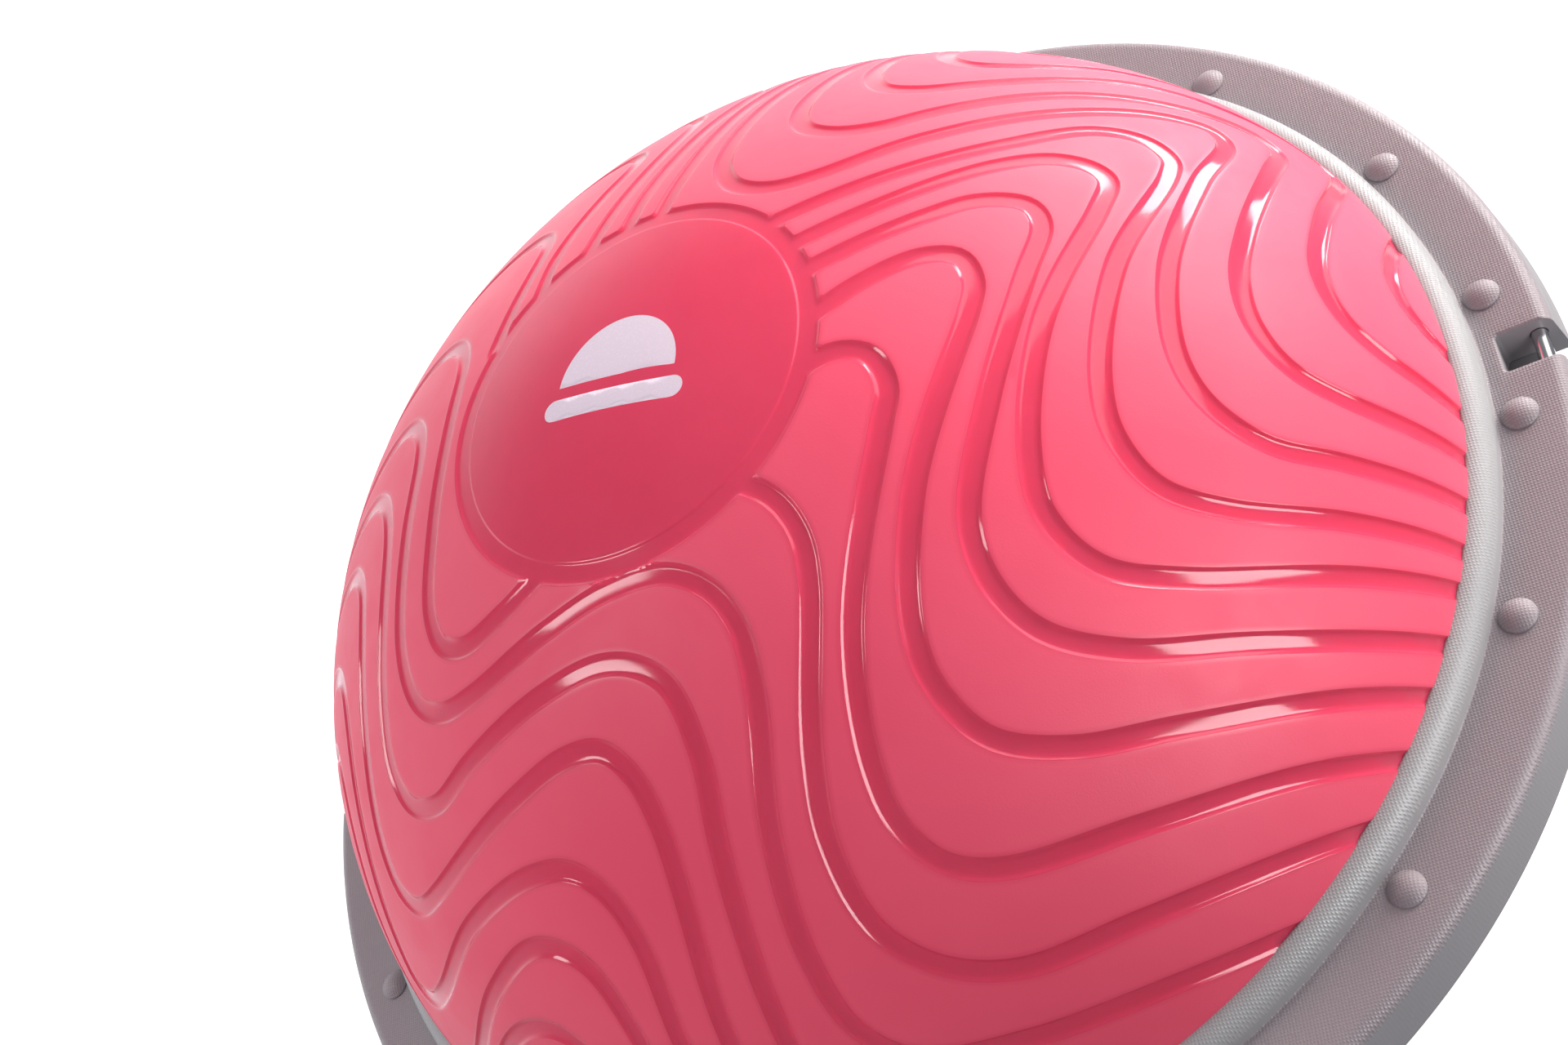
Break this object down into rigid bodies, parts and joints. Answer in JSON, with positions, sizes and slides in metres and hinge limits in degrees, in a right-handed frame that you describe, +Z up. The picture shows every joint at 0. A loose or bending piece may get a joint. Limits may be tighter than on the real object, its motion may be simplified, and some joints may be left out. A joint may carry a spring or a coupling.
{
  "type": "balance dome trainer",
  "caption": "Inflated half-ball dome with a wave tread, clamped by a riveted rim ring onto a flat round platform with band anchor pins.",
  "frame": {"origin": "on the floor, under the dome's centre", "axes": "+Z up along the dome's axis; the two band pockets and their pins are on +X and -X, the two hand grips on +Y and -Y"},
  "size_m": [0.5782, 0.579, 0.206],
  "materials": {
    "soft_pvc_pink": "satin plateaus with glossy grooves",
    "moulded_grey": "fine moulded dot texture on the flange, smooth satin skirt",
    "polished_steel": "polished",
    "black_rubber": "matte",
    "plug_white": "smooth"
  },
  "bodies": {
    "trainer": {"dome_bladder": "soft_pvc_pink", "clamp_ring": "moulded_grey", "base_platform": "moulded_grey", "rim_rivet_01": "moulded_grey", "rim_rivet_02": "moulded_grey", "rim_rivet_03": "moulded_grey", "rim_rivet_04": "moulded_grey", "rim_rivet_05": "moulded_grey", "rim_rivet_06": "moulded_grey", "rim_rivet_07": "moulded_grey", "rim_rivet_08": "moulded_grey", "rim_rivet_09": "moulded_grey", "rim_rivet_10": "moulded_grey", "rim_rivet_11": "moulded_grey", "rim_rivet_12": "moulded_grey", "rim_rivet_13": "moulded_grey", "rim_rivet_14": "moulded_grey", "rim_rivet_15": "moulded_grey", "rim_rivet_16": "moulded_grey", "anchor_pin_01": "polished_steel", "anchor_pin_02": "polished_steel", "valve_seat": "black_rubber", "foot_pad_01": "black_rubber", "foot_pad_02": "black_rubber", "foot_pad_03": "black_rubber", "foot_pad_04": "black_rubber", "foot_pad_05": "black_rubber", "foot_pad_06": "black_rubber", "foot_pad_07": "black_rubber", "foot_pad_08": "black_rubber"},
    "plug": {"valve_plug": "plug_white"}
  },
  "joints": [
    {"name": "plug_pull", "type": "slide", "parent": "trainer", "child": "plug", "axis": [0, 0, -1], "range_m": [0, 0.025]}
  ]
}
